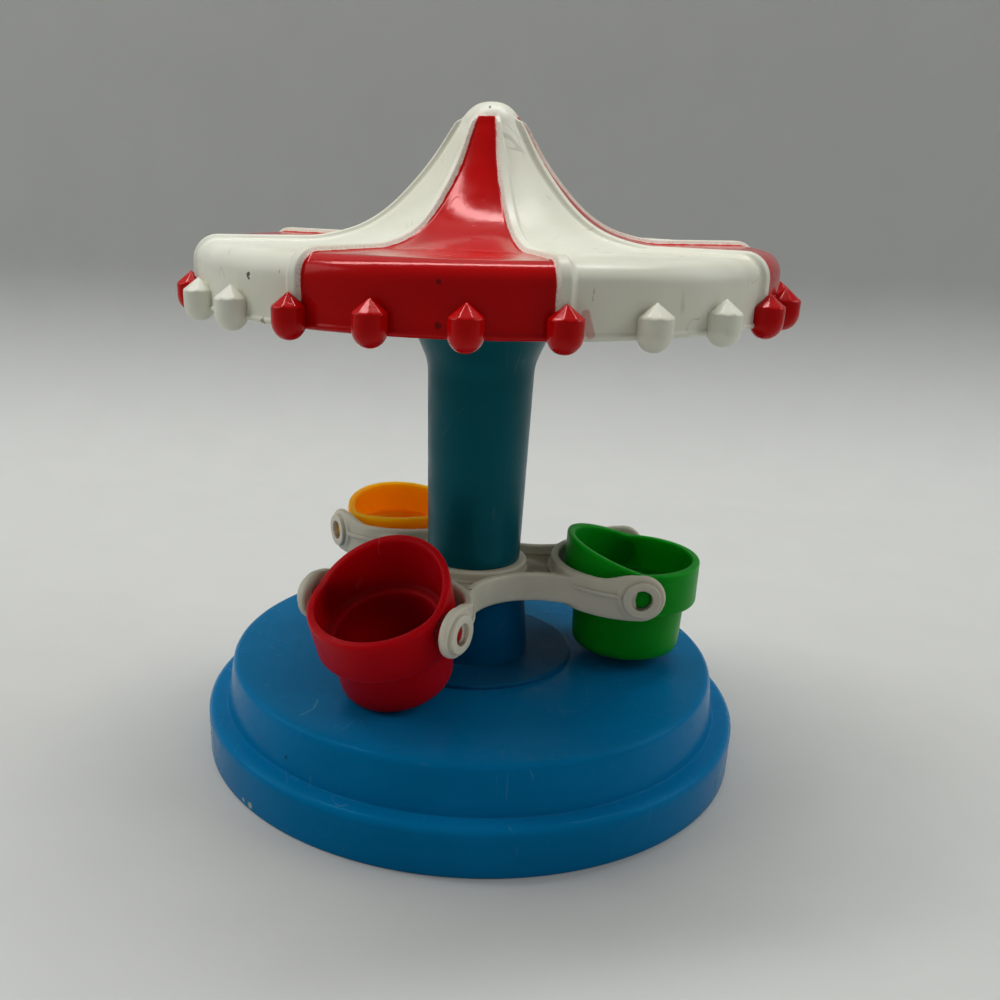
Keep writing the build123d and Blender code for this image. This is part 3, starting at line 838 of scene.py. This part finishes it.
def smooth_curve(points, count, start, end):
    """Natural-looking curve through points: a cubic spline by chord length, ends with given slopes."""
    points = np.asarray(points)
    t = np.concatenate([[0], np.cumsum(np.linalg.norm(np.diff(points, axis=0), axis=1))])
    h = np.diff(t)
    n = len(points)
    matrix, right = np.zeros((n, n)), np.zeros((n, 2))
    matrix[0, 0] = matrix[-1, -1] = 1
    right[0], right[-1] = start, end
    inner = np.arange(1, n - 1)
    matrix[inner, inner - 1] = h[1:]
    matrix[inner, inner] = 2 * (h[:-1] + h[1:])
    matrix[inner, inner + 1] = h[:-1]
    rate = np.diff(points, axis=0) / h[:, None]
    right[1:-1] = 3 * (h[1:, None] * rate[:-1] + h[:-1, None] * rate[1:])
    slope = np.linalg.solve(matrix, right)
    at = np.linspace(0, t[-1], count)
    k = np.clip(np.searchsorted(t, at, side="right") - 1, 0, n - 2)
    u = ((at - t[k]) / h[k])[:, None]
    hk = h[k][:, None]
    return ((1 + 2 * u) * (1 - u) ** 2 * points[k] + u * (1 - u) ** 2 * hk * slope[k]
            + u * u * (3 - 2 * u) * points[k + 1] + u * u * (u - 1) * hk * slope[k + 1])


def roof_line(inset, count):
    """Radius and height of the roof from the top to the brim's corner, moved in by an inset."""
    knots = np.stack([slope_drops[:, 0], canopy_top - slope_drops[:, 1]], 1)
    knots = np.concatenate([knots, [(brim_start, brim_height)]])
    knots[:, 1] -= inset
    slope = smooth_curve(knots, count, (1, 0), (1, 0))
    corners = [(brim_start, brim_height - inset, 0),
               (skirt_radius - inset, brim_height - inset, brim_edge - inset),
               (skirt_radius - inset, brim_height - inset - brim_edge, 0)]
    brim = rounded_outline(corners, spacing=1.6 * mm, steps=12)
    return np.concatenate([slope, brim[1:]])


outer_line = roof_line(0.0, 90)
skirt_heights = np.linspace(brim_height - brim_edge, skirt_bottom + 1.6 * mm, 12)[1:]
skirt_line = np.stack([skirt_radius + 0 * skirt_heights, skirt_heights], 1)
bead_turn = np.linspace(0, math.pi, 7)[1:]
bead_line = np.stack([skirt_radius - 0.15 * mm + 0.45 * mm * np.sin(bead_turn) ** 2 + 0 * bead_turn,
                      skirt_bottom + 0.85 * mm + 0.65 * mm * np.cos(bead_turn)], 1)
outer_line = np.concatenate([outer_line, skirt_line, bead_line])
lip_line = np.array([(skirt_radius - 0.5 * mm, skirt_bottom), (skirt_radius - 1.6 * mm, skirt_bottom)])
inner_line = roof_line(canopy_wall, 40)[::-1]
inside_skirt = np.linspace(skirt_bottom + 0.3 * mm, brim_height - brim_edge - canopy_wall, 6)[:-1]
inner_skirt = np.stack([skirt_radius - canopy_wall + 0 * inside_skirt, inside_skirt], 1)
print("canopy profile has %d points outside" % len(outer_line))

# %% [markdown]
# Ribs stand a little proud of the panels and widen from the dome to the skirt, as a mould cut with
# draft would leave them.


# %% Canopy: ribs and paint distance
rib_count = 8
rib_phase = math.radians(12.5)
rib_half_top, rib_half_slope, rib_half_skirt = 0.55 * mm, 1.15 * mm, 1.5 * mm
rib_proud = 0.85 * mm
panel_sink = 0.25 * mm
sector = 2 * math.pi / rib_count
rib_steps = np.linspace(-1.9, 1.9, 25)
fill_steps = np.linspace(0, 1, 14)[1:-1]


def canopy_grid():
    """Outside of the roof as rows (down the profile) and columns (round the canopy).

    In each sector the middle columns are at set multiples of the rib's half width and the
    others share out the rest of the sector.  Height = rib hump minus the panel's sink.
    """
    line = outer_line
    radius, height = line[:, 0], line[:, 1]
    along = np.gradient(line, axis=0)
    along /= np.linalg.norm(along, axis=1)[:, None]
    normal = np.stack([-along[:, 1], along[:, 0]], 1)
    half = rib_half_top + (rib_half_slope - rib_half_top) * ramp(7 * mm, 15 * mm, radius)
    half = half + (rib_half_skirt - rib_half_slope) * ramp(16 * mm, 66 * mm, radius)
    rib_half_angle = half / np.maximum(radius, 3.2 * mm)
    near = rib_half_angle[:, None] * rib_steps[None]
    edge = near[:, -1:]
    rest = edge + (sector - 2 * edge) * fill_steps[None]
    local = np.concatenate([near, rest], 1)
    angles = np.concatenate([local + k * sector for k in range(rib_count)], 1) + rib_phase
    to_rib = np.tile(np.minimum(np.abs(local), np.abs(local - sector)), (1, rib_count))
    distance = to_rib * radius[:, None]
    ratio = distance / half[:, None]
    start = ramp(6.6 * mm, 7.8 * mm, radius)[:, None]
    end = ramp(skirt_bottom + 0.2 * mm, skirt_bottom + 3.0 * mm, height)[:, None]
    hump = ramp(1.25, 0.55, ratio) * start * end
    panel_end = ramp(skirt_bottom + 0.8 * mm, skirt_bottom + 2.2 * mm, height)[:, None]
    panel = ramp(1.1, 1.6, ratio) * start * panel_end
    lift = rib_proud * hump - panel_sink * panel
    out_r = radius[:, None] + normal[:, :1] * lift
    out_z = height[:, None] + normal[:, 1:] * lift
    grid = np.stack([out_r * np.sin(angles), -out_r * np.cos(angles), out_z], -1)
    return grid, angles, distance, half


def paint_distance(angles, distance, half, radius):
    """Millimetres inside the red paint: positive on painted panels, negative on the rest.

    A panel is red when its sector number, counted round from the front rib, is odd.
    """
    number = np.floor((angles - rib_phase) / sector + 1e-9) % rib_count
    red = (number % 2 == 1)
    side = distance - 1.2 * half[:, None]
    top = (radius - 6.5 * mm)[:, None] + 0 * side
    inside = np.minimum(side, top)
    outside = -np.where(red, np.abs(inside), distance + 1.2 * half[:, None])
    return np.where(red & (inside > 0), inside, outside) / mm


# %% [markdown]
# One closed grid goes down the outside, round the lip and up the inside, so the roof is a real wall.


# %% Canopy: roof mesh
grid, angles, distance, half = canopy_grid()
paint = paint_distance(angles, distance, half, outer_line[:, 0])
columns = grid.shape[1]


def plain_rows(line, columns_of):
    """Rows without ribs, at the same column angles as the row they follow."""
    r, z = line[:, :1], line[:, 1:]
    return np.stack([r * np.sin(columns_of), -r * np.cos(columns_of), z + 0 * columns_of], -1)


last_angles = angles[-1][None]
under = plain_rows(np.concatenate([lip_line, inner_skirt]), last_angles)
unpainted = -9.0
red_edge = np.full(under.shape[:2], unpainted)
red_edge[:len(lip_line)] = paint[-1]
even = np.linspace(0, 2 * math.pi, columns, endpoint=False)[None] + rib_phase
share = ramp(0, 1, np.linspace(0, 1, len(inner_line)))[:, None]
inner_angles = last_angles * (1 - share) + (even + (last_angles[0, 0] - even[0, 0])) * share
inner = plain_rows(inner_line, inner_angles)
roof = Shells()
inner_values = np.full(inner.shape[:2], unpainted)
roof.add(np.concatenate([grid, under, inner]), value=np.concatenate([paint, red_edge, inner_values]))
print("roof grid", grid.shape, "paint from %.1f to %.1f mm" % (paint.min(), paint.max()))

# %% [markdown]
# ## Bulbs
# The 24 bulbs are part of the roof moulding: a half ball hangs below the skirt, a short barrel
# stands on it, and an eight-sided point closes it.  A point of the surface is where a ray from
# the bulb's axis first leaves the ball, the barrel or the eight planes of the point.

# %% Canopy: bulbs
bulb_radius, bulb_offset, bulb_bottom = 3.5 * mm, 1.6 * mm, 116.3 * mm
bulb_barrel, bulb_point = 2.9 * mm, 3.0 * mm
bulbs_per_rib = 3


def bulb_grid():
    """Rows of height, columns of angle; radius = least of ball, barrel and pyramid planes."""
    turn = np.linspace(0, 2 * math.pi, 48, endpoint=False)[None]
    ball = bulb_radius * (1 - np.cos(np.linspace(0, math.pi / 2, 9)))
    barrel = bulb_radius + np.linspace(0, bulb_barrel, 6)[1:]
    point = bulb_radius + bulb_barrel + bulb_point * (np.linspace(-0.28, 1, 14)[1:])
    height = np.unique(np.concatenate([ball, barrel, point]))[:, None]
    low = np.maximum(bulb_radius - height, 0)
    round_part = np.sqrt(np.maximum(bulb_radius ** 2 - low ** 2, 0))
    facet = (turn + math.pi / 8) % (math.pi / 4) - math.pi / 8
    slant = 1.04 * bulb_radius * (bulb_radius + bulb_barrel + bulb_point - height) / bulb_point
    radius = np.minimum(round_part + 0 * turn, slant / np.cos(facet))
    radius = np.maximum(radius, 0)
    return np.stack([radius * np.cos(turn), radius * np.sin(turn), height + 0 * turn], -1)


one_bulb = bulb_grid()
one_bulb[..., 2] += bulb_bottom
bulbs = Shells()
for k in range(rib_count * bulbs_per_rib):
    bearing = rib_phase + k * sector / bulbs_per_rib
    on_rib = k % bulbs_per_rib == 0
    red = on_rib or (k // bulbs_per_rib) % 2 == 1
    placed = one_bulb + np.array((skirt_radius + bulb_offset, 0, 0))
    bulbs.add(about_axis(placed, bearing - math.pi / 2), value=-unpainted if red else unpainted)

# %% [markdown]
# ## Canopy finish
# The roof is moulded in off-white plastic, and alternate panels are sprayed red over a mask.  The
# paint is glossier than the plastic, ends in a slightly ragged line at the rib's foot, and
# leaves a pink mist beyond it.  Paint round the bulbs on the ribs ran a little over its mask.


# %% Canopy: white plastic with sprayed red paint
def sprayed_canopy():
    material, tree, shader, position = new_material("canopy white plastic, sprayed red")
    inside = add(tree, "ShaderNodeAttribute", attribute_name="paint").outputs["Fac"]
    ragged = calc(tree, "SUBTRACT", noise(tree, position, 420.0, detail=5.0), 0.5)
    border = calc(tree, "MULTIPLY_ADD", ragged, 0.45, inside)
    red = fade(tree, -0.10, 0.10, border)
    mist_noise = fade(tree, 0.3, 0.75, noise(tree, position, 2600.0, detail=2.0))
    mist = calc(tree, "MULTIPLY", fade(tree, -1.3, 0.1, border), mist_noise)
    skin = place(tree, moulded_skin, Position=position, Grain=0.12, Waves=0.8)
    white = tint(tree, fade(tree, 0.3, 0.7, skin["Tone"]), (0.68, 0.675, 0.55, 1), (0.78, 0.785, 0.675, 1))
    grime = place(tree, dust, Position=position, Amount=0.10)["Mask"]
    white = tint(tree, grime, white, (0.42, 0.40, 0.30, 1))
    hairs = place(tree, scratches, Position=position, Amount=0.8)["Mask"]
    white = tint(tree, calc(tree, "MULTIPLY", hairs, 0.45), white, (0.28, 0.26, 0.20, 1))
    dots = place(tree, specks, Position=position, Scale=170.0, Density=0.055)["Mask"]
    white = tint(tree, dots, white, (0.10, 0.09, 0.07, 1))
    white = tint(tree, calc(tree, "MULTIPLY", mist, 0.55), white, (0.62, 0.10, 0.10, 1))
    uneven = fade(tree, 0.3, 0.7, skin["Tone"])
    paint_colour = tint(tree, uneven, (0.42, 0.0015, 0.002, 1), (0.50, 0.002, 0.002, 1))
    soot = place(tree, specks, Position=position, Scale=90.0, Density=0.03)["Mask"]
    paint_colour = tint(tree, calc(tree, "MULTIPLY", soot, 0.7), paint_colour, (0.03, 0.004, 0.004, 1))
    shade = tint(tree, red, white, paint_colour)
    patchy = fade(tree, 0.25, 0.8, noise(tree, position, 150.0, detail=5.0))
    plastic_rough = calc(tree, "MULTIPLY_ADD", patchy, 0.14, 0.27)
    paint_rough = calc(tree, "MULTIPLY_ADD", patchy, 0.08, 0.11)
    rough_mix = add(tree, "ShaderNodeMix", {0: red, 2: plastic_rough, 3: paint_rough}, data_type="FLOAT")
    rough = calc(tree, "MULTIPLY_ADD", grime, 0.3, rough_mix.outputs[0], clamp=True)
    sag = noise(tree, position, 520.0, detail=1.0)
    relief = calc(tree, "MULTIPLY_ADD", calc(tree, "MULTIPLY", sag, red), 0.35, skin["Height"])
    relief = calc(tree, "MULTIPLY_ADD", red, 0.5, relief)
    relief = calc(tree, "MULTIPLY_ADD", hairs, -0.3, relief)
    finish_surface(tree, shader, shade, rough, relief)
    shader.inputs["IOR"].default_value = 1.5
    shader.inputs["Specular IOR Level"].default_value = 0.32
    tree.links.new(tint(tree, red, (1, 1, 1, 1), (1, 0.35, 0.35, 1)), shader.inputs["Specular Tint"])
    return material


canopy_finish = sprayed_canopy()
run_start, run_end = on_turned(234, skirt_radius, 131 * mm), on_turned(234, skirt_radius, 129 * mm)
spray_start, spray_end = on_turned(286, skirt_radius, 123.5 * mm), on_turned(287, skirt_radius, 120 * mm)
crack_start, crack_end = on_turned(287.5, skirt_radius, 133 * mm), on_turned(287, skirt_radius, 126 * mm)
smudge_high, smudge_low = on_turned(263, skirt_radius, 129 * mm), on_turned(263, skirt_radius, 121 * mm)
edge_dirt = on_turned(230, skirt_radius, 119 * mm)
spray_red, grime_brown, soot_black = (0.45, 0.02, 0.02, 1), (0.13, 0.08, 0.04, 1), (0.03, 0.005, 0.005, 1)
marked(canopy_finish, [(run_start, run_end, 0.5 * mm, spray_red, 0.9),
                       (spray_start, spray_end, 1.2 * mm, spray_red, 0.45),
                       (crack_start, crack_end, 0.35 * mm, grime_brown, 0.6),
                       (smudge_high, smudge_high, 0.8 * mm, soot_black, 0.7),
                       (smudge_low, smudge_low, 0.9 * mm, soot_black, 0.7),
                       (edge_dirt, edge_dirt, 0.9 * mm, grime_brown, 0.7)])
for shells, name in ((roof, "canopy_roof"), (bulbs, "canopy_bulbs")):
    canopy_piece = shells.build(name, attribute="paint")
    canopy_piece.data.materials.append(canopy_finish)
    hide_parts("canopy")
    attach(canopy_piece, "carousel")

# %% [markdown]
# ## Pieces kept from the CAD model
# The post, axle, washers, push nut and screws are right as designed, so only their finish is
# new.  The metal is plain zinc-plated steel with a fine brushed grain.


# %% Finish for the kept pieces
def plated_steel():
    material, tree, shader, position = new_material("zinc plated steel")
    brushed = noise(tree, position, 900.0, detail=4.0, stretch=(1, 1, 0.08))
    blotch = noise(tree, position, 300.0, detail=3.0)
    shade = tint(tree, fade(tree, 0.3, 0.7, blotch), (0.42, 0.43, 0.44, 1), (0.58, 0.58, 0.56, 1))
    rough = calc(tree, "MULTIPLY_ADD", brushed, 0.25, 0.2)
    finish_surface(tree, shader, shade, rough, brushed, strength=0.3, depth=0.05 * mm)
    shader.inputs["Metallic"].default_value = 1.0
    return material


post_blue = coloured_plastic("post blue plastic", (0.0, 0.085, 0.20, 1), roughness=0.38, tone=0.08, film=0.1,
                             film_colour=(0.10, 0.19, 0.22, 1), scratched=0.3, grain=0.12, sheen=0.06,
                             sheen_colour=(0.15, 0.6, 1.0, 1))
steel = plated_steel()
for node in ("post_screws", "axle", "thrust_washer", "top_washer", "push_nut", "canopy_screws"):
    for place_on in frame["nodes"][node].material_slots:
        place_on.material = steel
for place_on in frame["nodes"]["center_post"].material_slots:
    place_on.material = post_blue

# %% [markdown]
# ## Floor, light and camera
# The floor is a pale sweep that curves up behind.  Most of the light comes from a wide soft
# strip overhead and a little behind, which leaves the upright faces towards the viewer darker
# than the faces that look up.

# %% Floor sweep
floor_width, floor_front, floor_back, curve, wall = 2.6, -1.0, 0.34, 0.10, 1.3
sweep_outline = rounded_outline([(floor_front, 0, 0), (floor_back, 0, curve), (floor_back, wall, 0)],
                                spacing=0.1, steps=24)
across = np.linspace(-floor_width / 2, floor_width / 2, 9)[None]
sweep_grid = np.stack([across + 0 * sweep_outline[:, :1], sweep_outline[:, :1] + 0 * across,
                       sweep_outline[:, 1:] + 0 * across], -1)
mesh = bpy.data.meshes.new("floor_sweep")
rows, cols = sweep_grid.shape[:2]
mesh.from_pydata(sweep_grid.reshape(-1, 3), [], grid_faces(rows, cols, False, False).tolist())
mesh.shade_smooth()
floor = bpy.data.objects.new("floor_sweep", mesh)
bpy.context.scene.collection.objects.link(floor)
floor_material = bpy.data.materials.new("pale sweep")
floor_material.use_nodes = True
tree = floor_material.node_tree
position = add(tree, "ShaderNodeTexCoord").outputs["Object"]
paper = noise(tree, position, 40.0, detail=6.0)
shade = tint(tree, paper, (0.51, 0.515, 0.495, 1), (0.55, 0.555, 0.535, 1))
# Painted shade: the sweep is mixed towards black as it rises, standing in for the light falling off up the
# backdrop.
height = add(tree, "ShaderNodeSeparateXYZ", {0: position}).outputs[2]
painted_backdrop_shade = calc(tree, "MULTIPLY", fade(tree, 0.0, 0.12, height), 0.30)
shade = tint(tree, painted_backdrop_shade, shade, (0.0, 0.0, 0.0, 1))
tree.links.new(shade, tree.nodes["Principled BSDF"].inputs["Base Color"])
tree.nodes["Principled BSDF"].inputs["Roughness"].default_value = 0.9
floor.data.materials.append(floor_material)


# %% [markdown]
# Three soft panels stand for a ceiling strip and two windows.


# %% Lights
def soft_panel(name, where, towards, size, power, colour=(1, 1, 1)):
    """A square area light that looks at a point."""
    data = bpy.data.lights.new(name, "AREA")
    data.shape = "RECTANGLE"
    data.size, data.size_y = size
    data.energy = power
    data.color = colour
    lamp = bpy.data.objects.new(name, data)
    bpy.context.scene.collection.objects.link(lamp)
    lamp.location = where
    lamp.rotation_euler = (Vector(towards) - Vector(where)).to_track_quat("-Z", "Y").to_euler()
    return lamp


soft_panel("overhead_strip", (-0.05, 0.20, 1.0), (0, 0, 0.08), (1.2, 0.14), 8.4, (1.0, 0.995, 0.98))
soft_panel("left_window", (-0.85, -0.05, 0.60), (0, 0, 0.08), (0.6, 0.6), 2.3, (0.97, 0.985, 1.0))
soft_panel("right_window", (0.85, 0.0, 0.60), (0, 0, 0.08), (0.6, 0.6), 2.3, (0.97, 0.985, 1.0))
world = bpy.data.worlds.new("room")
bpy.context.scene.world = world
world.use_nodes = True
world.node_tree.nodes["Background"].inputs["Color"].default_value = (0.80, 0.82, 0.84, 1)
world.node_tree.nodes["Background"].inputs["Strength"].default_value = 0.30
bpy.context.scene.view_settings.view_transform = "Standard"

# %% [markdown]
# The camera stands a little above the cups and looks down at the base, close enough for a
# strong perspective.  Its axes are worked out from the turn, the tilt and a slight roll.

# %% Camera
camera_place = Vector((0.0, -266.73 * mm, 145.26 * mm))
turn, tilt, roll = math.radians(-3.081), math.radians(21.854), math.radians(1.189)
forward = Vector((math.sin(turn) * math.cos(tilt), math.cos(turn) * math.cos(tilt), -math.sin(tilt)))
level_right = Vector((math.cos(turn), -math.sin(turn), 0))
level_upward = level_right.cross(forward)
right = level_right * math.cos(roll) + level_upward * math.sin(roll)
upward = level_upward * math.cos(roll) - level_right * math.sin(roll)
lens = bpy.data.cameras.new("camera")
lens.sensor_width = 36.0
lens.lens = 1.0331 * lens.sensor_width
lens.shift_x, lens.shift_y = 0.08, 0.10
lens.clip_start = 0.01
camera = bpy.data.objects.new("camera", lens)
bpy.context.scene.collection.objects.link(camera)
facing = Matrix((right, upward, -forward)).transposed().to_4x4()
camera.matrix_world = Matrix.Translation(camera_place) @ facing
bpy.context.scene.camera = camera

bpy.context.view_layer.update()
